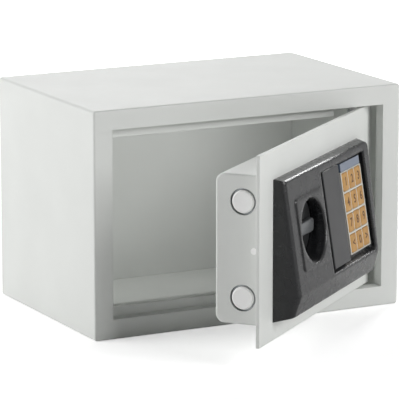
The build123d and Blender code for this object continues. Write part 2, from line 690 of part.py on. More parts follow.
def battery_lid():
    """Lid over the battery window, clipped into the cover's back."""
    bx, bz = battery_box_limits()
    g = 2.3
    lid = block((bx[0] + g, bx[1] - g), deep(COVER_BACK - COVER_T, COVER_BACK + 1.4),
                (bz[0] + g, bz[1] - g))
    lid = fillet(lid.edges().filter_by(Axis.Y), 3.0)
    back = lid.faces().sort_by(Axis.Y)[-1]
    lid = fillet(back.edges(), 0.8)
    for i in range(4):
        z = bz[1] - 9.0 - i * 3.2
        lid -= block((bx[0] + 20, bx[1] - 20), deep(COVER_BACK + 0.8, COVER_BACK + 3), (z, z + 1.6))
    return lid


def cover_brackets():
    """Angle brackets on the door that take the cover's side screws."""
    pieces = []
    for x, inward in ((COVER_X0 + COVER_T, 1), (COVER_X1 - COVER_T, -1)):
        upright = sorted((x, x + inward * 1.5))
        foot = sorted((x, x + inward * 12.0))
        piece = block(upright, deep(DOOR_T, COVER_SCREW_DEPTH + 5), (WORK_Z - 9, WORK_Z + 9))
        piece += block(foot, deep(DOOR_T, DOOR_T + 1.5), (WORK_Z - 9, WORK_Z + 9))
        piece -= rod_x(x - 4, x + 4, FACE_Y + COVER_SCREW_DEPTH, WORK_Z, SCREW_R)
        pieces.append(piece)
    return pieces


def cover_screws():
    """Pan-head screws through the cover's sides."""
    screws = []
    for x, out in ((COVER_X0, -1), (COVER_X1, 1)):
        y = FACE_Y + COVER_SCREW_DEPTH
        shank = sorted((x, x - out * 5.0))
        head = sorted((x, x + out * 1.6))
        screw = rod_x(shank[0], shank[1], y, WORK_Z, SCREW_R)
        screw += rod_x(head[0], head[1], y, WORK_Z, PAN_HEAD_R)
        screws.append(screw)
    return screws


def panel_screws():
    """Screws from behind the door into the panel's bosses."""
    screws = []
    for x, z in panel_screw_places():
        screw = rod_y(x, z, -6.0, DOOR_T, SCREW_R)
        screw += rod_y(x, z, DOOR_T, DOOR_T + 2.0, PAN_HEAD_R)
        screws.append(screw)
    return screws


def hinge_brackets():
    """Saddles welded behind the door that grip the two hinge pins."""
    saddles = []
    for z0, z1 in hinge_spans():
        saddle = rod_z(HINGE_X, HINGE_Y, z0, z1, PIN_R + 2.6)
        saddle += block((HINGE_X - 12, HINGE_X + 12), deep(DOOR_T, DOOR_T + 1.5), (z0, z1))
        saddle += block((HINGE_X - 5.6, HINGE_X + 5.6), deep(DOOR_T, HINGE_BEHIND), (z0, z1))
        saddle -= block((HINGE_X - 20, HINGE_X + 20), deep(DOOR_T - 9, DOOR_T), (z0 - 1, z1 + 1))
        saddle -= rod_z(HINGE_X, HINGE_Y, z0 - 1, z1 + 1, PIN_R)
        saddles.append(saddle)
    return saddles


def hinge_spans():
    """Z limits of the lower and upper saddle."""
    return ((DOOR_Z0 + 2, DOOR_Z0 + 20), (DOOR_Z1 - 20, DOOR_Z1 - 2))


def hinge_pins():
    """Two pins that stand out of the saddles into the frame's bushes."""
    reach = FRAME_SHEET + 3.0
    (a0, a1), (b0, b1) = hinge_spans()
    low = rod_z(HINGE_X, HINGE_Y, BORDER - reach, a1 + 1.5, PIN_R)
    high = rod_z(HINGE_X, HINGE_Y, b0 - 1.5, HEIGHT - BORDER + reach, PIN_R)
    return [low, high]


def door_stop_rails():
    """Stiffening strips behind the door that meet the frame's stops when it is shut."""
    rails = []
    back = RETURN_DEPTH - FRAME_SHEET - DOOR_RECESS - STOP_RAIL_CLEAR
    for z0 in (DOOR_Z0 + 4.0, DOOR_Z1 - 4.0 - 8.0):
        x = (DOOR_X0 + 26.0, HINGE_X - STOP_END_CLEAR - 6.0)
        t = 1.5
        rail = block(x, deep(DOOR_T, back), (z0, z0 + 8.0))
        rail -= block(x, deep(DOOR_T - 1, back - t), (z0 + t, z0 + 8.0 - t))
        rails.append(rail)
    return rails


def lock_barrel():
    """Body of the emergency key lock, fixed through the door."""
    barrel = rod_y(LOCK_X, LOCK_Z, LOCK_FRONT, LOCK_BACK, LOCK_R)
    barrel += rod_y(LOCK_X, LOCK_Z, LOCK_FRONT, LOCK_FRONT + 1.3, LOCK_R + 1.3)
    return barrel - rod_y(LOCK_X, LOCK_Z, LOCK_FRONT - 1, LOCK_BACK + 1, LOCK_PLUG_R + 0.05)


def lock_nut():
    """Ring nut behind the door."""
    nut = rod_y(LOCK_X, LOCK_Z, DOOR_T, DOOR_T + 4.0, LOCK_R + 3.5)
    return nut - rod_y(LOCK_X, LOCK_Z, DOOR_T - 1, DOOR_T + 5.0, LOCK_R)


def lock_plug():
    """Turning plug with its key slot."""
    plug = rod_y(LOCK_X, LOCK_Z, LOCK_FRONT + 0.3, LOCK_BACK + 3.0, LOCK_PLUG_R)
    key = block((LOCK_X - 1.2, LOCK_X + 1.2), deep(LOCK_FRONT - 1, LOCK_FRONT + 12),
                (LOCK_Z - 4, LOCK_Z + 4))
    return plug - key


def lock_cam():
    """Arm on the back of the plug."""
    d = (LOCK_BACK + 0.3, LOCK_BACK + 2.3)
    arm = block((LOCK_X - 4.5, LOCK_X + 4.5), deep(*d), (LOCK_Z - 22, LOCK_Z))
    arm = fillet(arm.edges().filter_by(Axis.Y).group_by(Axis.Z)[0], 3.0)
    arm += rod_y(LOCK_X, LOCK_Z, d[0], d[1], LOCK_PLUG_R + 3.0)
    return arm - rod_y(LOCK_X, LOCK_Z, d[0] - 1, d[1] + 1, LOCK_PLUG_R)


def solenoid_frame():
    """Folded yoke with a long leg down to the door."""
    x, z = PLUNGER_X, PLUNGER_Z
    t = 1.5
    z0, z1 = z - 8.5, z + 8.5
    z_leg = z0 - 2.0
    side = (x - 7, x + 7)
    front = block(side, deep(SOLENOID_FRONT, SOLENOID_FRONT + t), (z_leg, z1))
    leg = block(side, deep(DOOR_T, SOLENOID_BACK), (z_leg - t, z_leg))
    rear = block(side, deep(SOLENOID_BACK - t, SOLENOID_BACK), (z_leg, z1))
    foot = block(side, deep(DOOR_T, DOOR_T + t), (z_leg - 10, z_leg))
    yoke = front + leg + rear + foot
    return yoke - rod_y(x, z, SOLENOID_FRONT - 1, SOLENOID_BACK + 1, PLUNGER_R + 0.05)


def solenoid_coil():
    """Wound coil with its bore."""
    x, z = PLUNGER_X, PLUNGER_Z
    coil = rod_y(x, z, SOLENOID_FRONT + 1.5, SOLENOID_BACK - 1.5, 7.5)
    return coil - rod_y(x, z, SOLENOID_FRONT, SOLENOID_BACK, PLUNGER_R + 0.1)


def plunger():
    """Plunger drawn into the coil, its tip just clear of the bolt plate."""
    tip = BOLT_DEPTH + PLATE_T / 2 + 0.3
    return rod_y(PLUNGER_X, PLUNGER_Z, tip, SOLENOID_BACK - 2.0, PLUNGER_R)


def cable_grommet():
    """Rubber grommet where the wires pass the door."""
    ring = rod_y(GROMMET_X, GROMMET_Z, 0, DOOR_T, GROMMET_R)
    ring += rod_y(GROMMET_X, GROMMET_Z, DOOR_T, DOOR_T + 1.2, GROMMET_R + 1.5)
    return ring - rod_y(GROMMET_X, GROMMET_Z, -2, DOOR_T + 3, WIRE_R)


def wire_loom():
    """Sleeved wires from the keypad board through the door to the battery box."""
    v = (FACE_TOP_Z - GROMMET_Z) / cos(FACE_TILT)
    board_back = -(PANEL_TOP_DEPTH + v * sin(FACE_TILT)) - (BOARD_TOP - BOARD_T) / cos(FACE_TILT) + 0.8
    bx, bz = battery_box_limits()
    end_d = COVER_BACK - COVER_T - 18.0
    z_end = bz[1] - 8.0
    pts = [(GROMMET_X, FACE_Y + board_back, GROMMET_Z),
           (GROMMET_X, FACE_Y + 14.0, GROMMET_Z),
           (GROMMET_X, FACE_Y + end_d - 8.0, z_end),
           (GROMMET_X, FACE_Y + end_d, z_end)]
    path = FilletPolyline(*pts, radius=6.0)
    ring = Plane(origin=path @ 0, z_dir=path % 0) * Circle(WIRE_R)
    print("wire_loom bend radius 6.0 mm, two bends")
    return sweep(ring, path=path)


def reset_button():
    """Small push button on the inner side."""
    head = rod_y(RESET_X, RESET_Z, COVER_BACK - 4.0, COVER_BACK + 1.5, RESET_R)
    rim = head.faces().sort_by(Axis.Y)[-1]
    head = fillet(rim.edges(), 0.8)
    return head + rod_y(RESET_X, RESET_Z, COVER_BACK - 5.2, COVER_BACK - 4.0, RESET_R + 1.3)


def reset_switch():
    """Switch body behind the button, clipped to the cover."""
    back = COVER_BACK - COVER_T
    d0 = back - 12.0
    body = block((RESET_X - 8, RESET_X + 8), deep(d0, back), (RESET_Z - 7, RESET_Z + 7))
    body -= rod_y(RESET_X, RESET_Z, COVER_BACK - 7.2, back + 1, RESET_R + 1.7)
    return body


def export(name, piece, swing):
    """Write one node, swung open with the door where it belongs to it."""
    solids = piece if isinstance(piece, list) else [piece]
    flat = []
    for item in solids:
        flat.extend(item.solids())
    if swing:
        flat = [s.rotate(HINGE_AXIS, DOOR_ANGLE) for s in flat]
    shape = flat[0] if len(flat) == 1 else Compound(children=flat)
    export_step(shape, f"parts/{name}.step")
    print(f"{name}: {len(flat)} solid(s)")


def main():
    os.makedirs("parts", exist_ok=True)
    for make in (body_shell, back_panel, door_frame, hinge_bushes):
        export(make.__name__, make(), False)
    door_pieces = (
        door_plate, hinge_brackets, hinge_pins, door_stop_rails, panel_housing, keypad_frame,
        led_window, leds, circuit_board, panel_screws, shaft_bush, bolt_guides, carriage_studs,
        bolt_cover, cover_brackets, cover_screws, battery_box, batteries, battery_contacts,
        lock_barrel, lock_nut, solenoid_frame, solenoid_coil, cable_grommet, wire_loom,
        reset_switch, knob, knob_shaft, crank, locking_bolts, bolt_rivets, bolt_plate, plunger,
        strip_cover, lock_plug, lock_cam, battery_lid, reset_button,
    )
    for make in door_pieces:
        export(make.__name__, make(), True)
    for row in range(4):
        for col in range(3):
            export(f"key_{KEY_NAMES[row][col]}", key_cap(row, col), True)


main()
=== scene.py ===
# %% [markdown]
# A small furniture safe, seen from the front left with its door a little under half open.
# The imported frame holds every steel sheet, moulding and bolt at its real size. This script gives
# those pieces their finishes, adds the pieces whose surface is easier to work out with numpy, and
# sets up the camera and a plain pale studio. Lengths below are in metres unless a name says mm.

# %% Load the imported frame
import bpy
import json
import math
import numpy as np
from mathutils import Matrix, Vector


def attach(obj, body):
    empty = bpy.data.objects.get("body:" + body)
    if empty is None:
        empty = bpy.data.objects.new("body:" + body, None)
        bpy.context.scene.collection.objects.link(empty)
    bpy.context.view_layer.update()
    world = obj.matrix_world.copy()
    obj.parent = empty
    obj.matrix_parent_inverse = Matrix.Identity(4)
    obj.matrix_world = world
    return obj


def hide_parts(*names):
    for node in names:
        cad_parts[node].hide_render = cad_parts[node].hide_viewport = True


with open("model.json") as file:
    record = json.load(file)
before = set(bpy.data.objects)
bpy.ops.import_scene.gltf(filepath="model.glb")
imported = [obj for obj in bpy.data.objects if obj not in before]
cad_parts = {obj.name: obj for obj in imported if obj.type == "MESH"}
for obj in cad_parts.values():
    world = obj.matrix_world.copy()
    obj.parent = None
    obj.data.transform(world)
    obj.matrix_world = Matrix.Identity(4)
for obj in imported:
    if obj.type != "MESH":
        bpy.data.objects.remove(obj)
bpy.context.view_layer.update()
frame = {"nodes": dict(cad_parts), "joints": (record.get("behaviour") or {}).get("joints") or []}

nodes = frame["nodes"]
scene = bpy.context.scene
print(len(nodes), "nodes")

# %% [markdown]
# The photograph was taken with a long lens from about 2.9 m, a little above the safe. The camera's
# place was solved from the cabinet's corners: turned 27.6 degrees to the left of the front, looking
# down 11.9 degrees. A long lens keeps the cabinet's edges almost parallel, which matters more to
# the likeness than any finish, so the camera comes before everything else.

# %% Camera from the solved view
MM = 0.001
VIEW_YAW = math.radians(27.555)
VIEW_PITCH = math.radians(11.944)
VIEW_DISTANCE = 2941.5 * MM
VIEW_RIGHT, VIEW_UP = 1.169 * MM, 91.840 * MM
FOCAL_PIXELS, FRAME_PIXELS, SENSOR_MM = 3163.9, 400, 36.0


def solved_camera():
    """Axes from yaw and pitch: back points from the safe to the camera, right is level."""
    back = np.array((-math.sin(VIEW_YAW) * math.cos(VIEW_PITCH),
                     -math.cos(VIEW_YAW) * math.cos(VIEW_PITCH), math.sin(VIEW_PITCH)))
    right = np.array((math.cos(VIEW_YAW), -math.sin(VIEW_YAW), 0.0))
    up = np.cross(back, right)
    place = back * VIEW_DISTANCE + right * VIEW_RIGHT + up * VIEW_UP
    turn = Matrix([[right[i], up[i], back[i], place[i]] for i in range(3)] + [[0, 0, 0, 1]])
    data = bpy.data.cameras.new("studio_camera")
    data.sensor_width = SENSOR_MM
    data.lens = FOCAL_PIXELS * SENSOR_MM / FRAME_PIXELS
    data.clip_start, data.clip_end = 0.1, 20.0
    camera = bpy.data.objects.new("studio_camera", data)
    scene.collection.objects.link(camera)
    camera.matrix_world = turn
    return camera


scene.camera = solved_camera()
print("camera", [round(v, 3) for v in scene.camera.location])
print("lens", round(scene.camera.data.lens, 1), "mm")

# %% [markdown]
# Every piece on the door was drawn with the door shut and then swung open about the hinge pins.
# The same two steps are kept here: a piece is worked out on the shut door, or on the panel's
# sloping face, and one function carries its points to where the door stands. The hinge joint
# says where the axis is, and the low end of its range is the way back to the shut door.

# %% Places on the shut door and on the open one
door_hinge = next(joint for joint in frame["joints"] if joint["name"] == "door_hinge")
DOOR_TURN = math.radians(-door_hinge["range_deg"][0])
HINGE_AXIS_MM = [value / MM for value in door_hinge["pos_m"][:2]]
DOOR_FACE_Y_MM = -99.5
PANEL_LEFT_MM = -105.5
FACE_TOP_MM, FACE_TOP_DEPTH_MM = 159.0, 10.0
KNEE_MM, KNEE_DEPTH_MM = 60.4, 25.4
FACE_TILT = math.atan2(KNEE_DEPTH_MM - FACE_TOP_DEPTH_MM, FACE_TOP_MM - KNEE_MM)


def swing(points_mm):
    """Turn points about the hinge axis by the door's angle, and change millimetres to metres."""
    p = np.asarray(points_mm, float)
    c, s = math.cos(DOOR_TURN), math.sin(DOOR_TURN)
    x, y = p[..., 0] - HINGE_AXIS_MM[0], p[..., 1] - HINGE_AXIS_MM[1]
    turned = np.stack([HINGE_AXIS_MM[0] + x * c - y * s, HINGE_AXIS_MM[1] + x * s + y * c,
                       p[..., 2]], axis=-1)
    return turned * MM


def on_panel(u, v, h):
    """Panel face to shut door: u along X, v down the slope, h straight out of the face."""
    tilt_c, tilt_s = math.cos(FACE_TILT), math.sin(FACE_TILT)
    u, v, h = np.broadcast_arrays(np.asarray(u, float), v, h)
    x = PANEL_LEFT_MM + u
    y = DOOR_FACE_Y_MM - FACE_TOP_DEPTH_MM - v * tilt_s - h * tilt_c
    z = FACE_TOP_MM - v * tilt_c + h * tilt_s
    return np.stack([x, y, z], axis=-1)


print("panel face leans back", round(math.degrees(FACE_TILT), 2), "degrees")

# %% [markdown]
# A mesh made from a grid of points is the simplest surface there is: rows of points, and a
# four-sided face between each four neighbours. Four helpers are enough for this whole object: one
# makes the mesh, one turns its faces outwards, one lofts a rounded outline along a profile, and
# one gives the profile its round edge.

# %% A grid of points becomes a mesh
def grid_mesh(name, rings, low_pole, high_pole):
    """Rings of points, closed round, with a fan of triangles to a point at each end."""
    count, around = rings.shape[:2]
    points = np.concatenate([rings.reshape(-1, 3), [low_pole], [high_pole]])
    row, col = np.meshgrid(np.arange(count - 1), np.arange(around), indexing="ij")
    here, beside = row * around + col, row * around + (col + 1) % around
    quads = np.stack([here, beside, beside + around, here + around], axis=-1).reshape(-1, 4)
    step = np.arange(around)
    after = (step + 1) % around
    last = (count - 1) * around
    start = np.stack([after, step, np.full(around, count * around)], axis=-1)
    end = np.stack([last + step, last + after, np.full(around, count * around + 1)], axis=-1)
    mesh = bpy.data.meshes.new(name)
    mesh.from_pydata(points.tolist(), [], quads.tolist() + start.tolist() + end.tolist())
    mesh.update()
    mesh.polygons.foreach_set("use_smooth", np.full(len(mesh.polygons), True))
    piece = bpy.data.objects.new(name, mesh)
    scene.collection.objects.link(piece)
    return piece


def outward(piece):
    """Turn the faces outwards when the closed mesh's signed volume says they point in."""
    mesh = piece.data
    mesh.calc_loop_triangles()
    co = np.empty(len(mesh.vertices) * 3)
    mesh.vertices.foreach_get("co", co)
    tri = np.empty(len(mesh.loop_triangles) * 3, np.int32)
    mesh.loop_triangles.foreach_get("vertices", tri)
    a, b, c = co.reshape(-1, 3)[tri.reshape(-1, 3)].transpose(1, 0, 2)
    if np.einsum("ij,ij->", a, np.cross(b, c)) < 0:
        mesh.flip_normals()
    return piece


def lofted(name, profile, half_u, half_v, power, around, place):
    """Loft the superellipse |u/a|^n + |v/b|^n = 1 along a profile of (inset, height) steps.
    Each step draws the outline inwards by the inset, and place() puts (u, v, height) on the part.
    """
    t = np.linspace(0, 2 * np.pi, around, endpoint=False)
    cu = np.sign(np.cos(t)) * np.abs(np.cos(t)) ** (2 / power)
    cv = np.sign(np.sin(t)) * np.abs(np.sin(t)) ** (2 / power)
    inset, height = np.asarray(profile, float).T
    u = (half_u - inset)[:, None] * cu[None, :]
    v = (half_v - inset)[:, None] * cv[None, :]
    rings = place(u, v, np.broadcast_to(height[:, None], u.shape))
    low = place(np.zeros(1), np.zeros(1), np.full(1, height[0]))[0]
    high = place(np.zeros(1), np.zeros(1), np.full(1, height[-1]))[0]
    return outward(grid_mesh(name, rings, low, high))


def rounded_edge(radius, height, steps):
    """Quarter circle of profile steps that turns from the wall to a top at the given height."""
    return [(radius * (1 - math.cos(a)), height - radius * (1 - math.sin(a)))
            for a in np.linspace(0, np.pi / 2, steps)]


print("mesh helpers ready")

# %% [markdown]
# Colours are written as the hex values that a colour picker shows. Blender's shader sockets want
# linear light, so one function undoes the sRGB curve. Another adds a node, sets its values and
# links its inputs, so that each material below reads like a recipe.

# %% Colour and node helpers
# A noise seldom leaves its middle, so these spans of its value are stretched to the whole range.
NOISE_SPAN, TINT_SPAN = (0.3, 0.7), (0.35, 0.65)
EDGE_SAMPLES = 8


def colour(hex_value):
    """sRGB hex to linear RGBA: (c + 0.055) / 1.055 to the power 2.4, or c / 12.92 near black."""
    c = np.array([int(hex_value[i:i + 2], 16) for i in (1, 3, 5)]) / 255
    return tuple(np.where(c <= 0.04045, c / 12.92, ((c + 0.055) / 1.055) ** 2.4)) + (1.0,)


def add(tree, kind, values=None, links=None, **settings):
    """One new node: attributes from settings, socket values, and links as input name: output."""
    node = tree.nodes.new(kind)
    for name, value in settings.items():
        setattr(node, name, value)
    for name, value in (values or {}).items():
        node.inputs[name].default_value = value
    for name, output in (links or {}).items():
        tree.links.new(output, node.inputs[name])
    return node


def finish_of(name, base, **sockets):
    """A material with a Principled shader, its base colour and its constant sockets set."""
    material = bpy.data.materials.new(name)
    material.use_nodes = True
    shader = material.node_tree.nodes["Principled BSDF"]
    shader.inputs["Base Color"].default_value = colour(base)
    for socket, value in sockets.items():
        shader.inputs[socket.replace("_", " ")].default_value = value
    material.diffuse_color = colour(base)
    return material, material.node_tree, shader


def grain(tree, size_mm, detail=2.0, stretch=(1, 1, 1)):
    """Noise on Object coordinates whose blobs are about the given size across."""
    where = add(tree, "ShaderNodeTexCoord")
    scale = add(tree, "ShaderNodeMapping", {"Scale": stretch}, {"Vector": where.outputs["Object"]})
    return add(tree, "ShaderNodeTexNoise", {"Scale": 1 / (size_mm * MM), "Detail": detail},
               {"Vector": scale.outputs["Vector"]})


def bumped(tree, shader, noise, depth_mm, strength=1.0, edge_mm=0.0):
    """Use a noise as relief of the given depth, and shade edges as if rounded by edge_mm."""
    bump = add(tree, "ShaderNodeBump", {"Distance": depth_mm * MM, "Strength": strength},
               {"Height": noise.outputs["Fac"]})
    if edge_mm:
        edge = add(tree, "ShaderNodeBevel", {"Radius": edge_mm * MM}, samples=EDGE_SAMPLES)
        tree.links.new(edge.outputs["Normal"], bump.inputs["Normal"])
    tree.links.new(bump.outputs["Normal"], shader.inputs["Normal"])


def varied(tree, shader, noise, socket, low, high):
    """Let a noise move one socket between two values."""
    spread = add(tree, "ShaderNodeMapRange", {"From Min": NOISE_SPAN[0], "From Max": NOISE_SPAN[1],
                                              "To Min": low, "To Max": high},
                 {"Value": noise.outputs["Fac"]})
    tree.links.new(spread.outputs["Result"], shader.inputs[socket])


def tinted(tree, shader, noise, first, second):
    """Let a noise mix two close colours into the base colour."""
    ramp = add(tree, "ShaderNodeValToRGB", links={"Fac": noise.outputs["Fac"]})
    for stop, position, shade in zip(ramp.color_ramp.elements, TINT_SPAN, (first, second)):
        stop.position, stop.color = position, colour(shade)
    tree.links.new(ramp.outputs["Color"], shader.inputs["Base Color"])


print("sRGB #808080 is", round(float(colour("#808080")[0]), 3), "in linear light")

# %% [markdown]
# The cabinet, the door and the bolt cover are folded steel with a polyester powder coat. The
# powder melts into a skin with a faint orange peel about a millimetre across, which spreads
# highlights a little. The grit is drawn at 0.9 mm so that it shows in a close view.

# %% Powder-coated steel
powder_coat, tree, shader = finish_of("powder_coat_light_grey", "#E0E2DF", Roughness=0.48,
                                      Specular_IOR_Level=0.4)
fine = grain(tree, 0.9, 3.0)
bumped(tree, shader, fine, 0.05, 0.35, edge_mm=0.7)
varied(tree, shader, grain(tree, 14.0, 2.0), "Roughness", 0.43, 0.53)
tinted(tree, shader, grain(tree, 55.0, 2.0), "#DFE1DE", "#E2E4E1")
print("material", powder_coat.name)

# %% [markdown]
# The front panel is ABS moulded in a spark-eroded tool. That leaves a fine even grain, so the
# plastic is satin: nearly black, with a soft bright line wherever an edge turns to a light. The
# grain is too fine to show and is drawn at 0.4 mm, very shallow. The CAD's edges are sharp, and
# edge_mm shades them as the moulding radius of the real panel. A little sheen lifts the face,
# which the eye meets at a low angle.

# %% Spark-eroded dark ABS, and the plain black parts
panel_abs, tree, shader = finish_of("abs_dark_grey_satin", "#17181A", Roughness=0.26, IOR=1.53,
                                    Sheen_Weight=0.3, Sheen_Roughness=0.3)
bumped(tree, shader, grain(tree, 0.4, 2.0), 0.003, 0.05, edge_mm=4.0)
varied(tree, shader, grain(tree, 14.0), "Roughness", 0.25, 0.29)
strip_abs, tree, shader = finish_of("abs_mid_grey_satin", "#1C1D1F", Roughness=0.3, IOR=1.53,
                                    Sheen_Weight=0.3, Sheen_Roughness=0.3)
bumped(tree, shader, grain(tree, 0.4, 2.0), 0.003, 0.05, edge_mm=1.2)
varied(tree, shader, grain(tree, 14.0), "Roughness", 0.28, 0.33)
black_abs, tree, shader = finish_of("abs_black_moulded", "#1B1C1D", Roughness=0.42, IOR=1.53)
bumped(tree, shader, grain(tree, 0.6, 2.0), 0.02, 0.3)
varied(tree, shader, grain(tree, 8.0), "Roughness", 0.36, 0.48)
rubber, tree, shader = finish_of("epdm_black_rubber", "#161616", Roughness=0.75, IOR=1.5)
bumped(tree, shader, grain(tree, 0.7, 2.0), 0.02, 0.4)
varied(tree, shader, grain(tree, 6.0), "Roughness", 0.68, 0.82)
red_abs, tree, shader = finish_of("abs_red_moulded", "#A3191B", Roughness=0.35, IOR=1.53)
bumped(tree, shader, grain(tree, 0.6, 2.0), 0.02, 0.3)
varied(tree, shader, grain(tree, 5.0), "Roughness", 0.3, 0.4)
print("materials", panel_abs.name, strip_abs.name, black_abs.name)

# %% [markdown]
# The knob's grip bar is plastic under a silver lacquer, and the keys are plastic under a gold one.
# Aluminium flakes in the lacquer glint one by one. They are drawn at 0.35 mm, coarser than they
# are, so that they show, and the surface is partly metallic.

# %% Silver lacquer and gold lacquer
knob_silver, tree, shader = finish_of("abs_silver_lacquer", "#77797B", Roughness=0.3, Metallic=0.5,
                                      IOR=1.5)
flake = grain(tree, 0.35, 1.0)
bumped(tree, shader, flake, 0.006, 0.12)
varied(tree, shader, flake, "Roughness", 0.26, 0.36)
key_gold, tree, shader = finish_of("abs_gold_lacquer", "#BF8E48", Roughness=0.34, Metallic=0.3,
                                   IOR=1.5)
flake = grain(tree, 0.35, 1.0)
bumped(tree, shader, flake, 0.01, 0.25)
varied(tree, shader, flake, "Roughness", 0.32, 0.45)
tinted(tree, shader, grain(tree, 5.0), "#B98843", "#C79A58")
print("materials", knob_silver.name, key_gold.name)

# %% [markdown]
# The bolts are turned steel with a satin nickel plate. Their flat ends reflect pale surroundings
# and look nearly white. That reflection is painted into the nickel's near-white base colour, which
# is kept almost non-metallic. Zinc-plated sheet has cloudy patches instead, a few millimetres wide,
# from the way the zinc crystals grow.

# %% Nickel, zinc, brass and copper
# The near-white base colour is a painted reflection of the pale surroundings on the nickel plate.
nickel_painted_reflection, tree, shader = finish_of("nickel_plated_steel_painted_reflection", "#FDFDFC", Roughness=0.4,
                                 Metallic=0.05)
bumped(tree, shader, grain(tree, 0.4, 2.0), 0.008, 0.3)
varied(tree, shader, grain(tree, 2.5), "Roughness", 0.28, 0.42)
zinc, tree, shader = finish_of("zinc_plated_sheet", "#B4B8BB", Roughness=0.34, Metallic=1.0)
tinted(tree, shader, grain(tree, 3.0, 3.0), "#A9AEB2", "#BFC2C4")
varied(tree, shader, grain(tree, 4.0), "Roughness", 0.28, 0.42)
brass, tree, shader = finish_of("turned_brass", "#C9A75E", Roughness=0.28, Metallic=1.0)
varied(tree, shader, grain(tree, 2.0), "Roughness", 0.22, 0.36)
copper, tree, shader = finish_of("enamelled_copper_wire", "#9C4E23", Roughness=0.3, Metallic=0.8)
varied(tree, shader, grain(tree, 0.6), "Roughness", 0.25, 0.4)
print("materials", nickel_painted_reflection.name, zinc.name, brass.name)

# %% [markdown]
# The keypad's own parts: a pale plate between the keys, a smoked window over three lamps, clear
# lamps, and brown pad-printed figures. The board and the cells' sleeves are hidden inside.

# %% Keypad plastics, board and sleeves
pale_abs, tree, shader = finish_of("abs_pale_moulded", "#D9D6CC", Roughness=0.42, IOR=1.53)
bumped(tree, shader, grain(tree, 0.6), 0.02, 0.25)
varied(tree, shader, grain(tree, 6.0), "Roughness", 0.36, 0.48)
window_pc, tree, shader = finish_of("polycarbonate_smoked", "#6B7688", Roughness=0.14, IOR=1.585)
varied(tree, shader, grain(tree, 6.0), "Roughness", 0.10, 0.18)
lamp_epoxy, tree, shader = finish_of("epoxy_lamp_clear", "#D6D4CB", Roughness=0.12, IOR=1.54)
varied(tree, shader, grain(tree, 2.0), "Roughness", 0.08, 0.16)
figure_ink, tree, shader = finish_of("pad_print_brown", "#5A3A1C", Roughness=0.5, IOR=1.5)
varied(tree, shader, grain(tree, 1.0), "Roughness", 0.45, 0.6)
board_green, tree, shader = finish_of("fibreglass_solder_resist", "#12512B", Roughness=0.3, IOR=1.5)
varied(tree, shader, grain(tree, 3.0), "Roughness", 0.25, 0.4)
sleeve, tree, shader = finish_of("battery_sleeve_plain", "#2C2D30", Roughness=0.28, IOR=1.5)
varied(tree, shader, grain(tree, 5.0), "Roughness", 0.22, 0.36)
print("materials", pale_abs.name, window_pc.name, figure_ink.name)

# %% [markdown]
# Every piece of the frame gets one finish, also the hidden ones: some of them show when the
# battery lid or the strip cover is off. The table lists the finishes first, because one finish
# serves many pieces.

# %% Finishes on the CAD pieces
FINISHES = {
    powder_coat: "body_shell back_panel door_frame door_plate bolt_cover door_stop_rails",
    panel_abs: "panel_housing",
    strip_abs: "strip_cover",
    black_abs: "shaft_bush battery_box battery_lid reset_switch",
    rubber: "cable_grommet wire_loom",
    red_abs: "reset_button",
    nickel_painted_reflection: "hinge_pins locking_bolts bolt_rivets knob_shaft plunger carriage_studs cover_screws "
            "panel_screws lock_barrel battery_contacts",
    zinc: "hinge_brackets bolt_guides bolt_plate crank cover_brackets solenoid_frame lock_cam",
    brass: "hinge_bushes lock_nut lock_plug",
    copper: "solenoid_coil",
    knob_silver: "knob",
    pale_abs: "keypad_frame",
    window_pc: "led_window",
    lamp_epoxy: "leds",
    board_green: "circuit_board",
    sleeve: "batteries",
    key_gold: " ".join(name for name in nodes if name.startswith("key_")),
}
for material, names in FINISHES.items():
    for name in names.split():
        mesh = nodes[name].data
        if not mesh.materials:
            mesh.materials.append(material)
        for index in range(len(mesh.materials)):
            mesh.materials[index] = material
print("finished", sum(len(names.split()) for names in FINISHES.values()), "of", len(nodes), "nodes")

# %% [markdown]
# Each key is a small moulding with a crowned top and soft edges. A box with a bevel would look
# stamped. Here the outline is a superellipse, nearly square with round corners, and the profile
# climbs the wall, turns over a small radius and then rises gently to the middle.

# %% Crowned keys with printed figures
KEY_FIGURES = (("1", "2", "3"), ("4", "5", "6"), ("7", "8", "9"), ("left", "0", "right"))
KEYPAD_LEFT_MM, KEYPAD_TOP_MM = 136.2, 17.2
KEY_PITCH_MM = (15.8, 18.5)
KEY_HALF_MM = (7.15, 8.2)
KEY_BOTTOM_MM, KEY_TOP_MM = -5.0, -1.8
KEY_EDGE_MM, KEY_CROWN_MM = 0.7, 0.3
KEY_SQUARENESS, KEY_AROUND, EDGE_STEPS = 7.0, 48, 5
FIGURE_SIZE_MM, FIGURE_RAISED_MM, FIGURE_BOLDER_MM = 10.5, 0.04, 0.22
FIGURE_SIGNS = {"left": "<", "right": ">"}


def crowned_key(name, u0, v0):
    """Wall, a quarter circle, then a crown that rises as 1 - s^2 to s = 0 in the middle."""
    shoulder = KEY_TOP_MM - KEY_CROWN_MM
    wall = [(0.0, KEY_BOTTOM_MM)] + rounded_edge(KEY_EDGE_MM, shoulder, EDGE_STEPS)
    edge = wall[-1][0]
    crown = [(edge + (KEY_HALF_MM[0] - edge) * (1 - s), shoulder + KEY_CROWN_MM * (1 - s * s))
             for s in (0.85, 0.6, 0.35, 0.1)]
    return lofted(name, wall + crown, *KEY_HALF_MM, KEY_SQUARENESS, KEY_AROUND,
                  lambda u, v, h: swing(on_panel(u0 + u, v0 + v, h)))


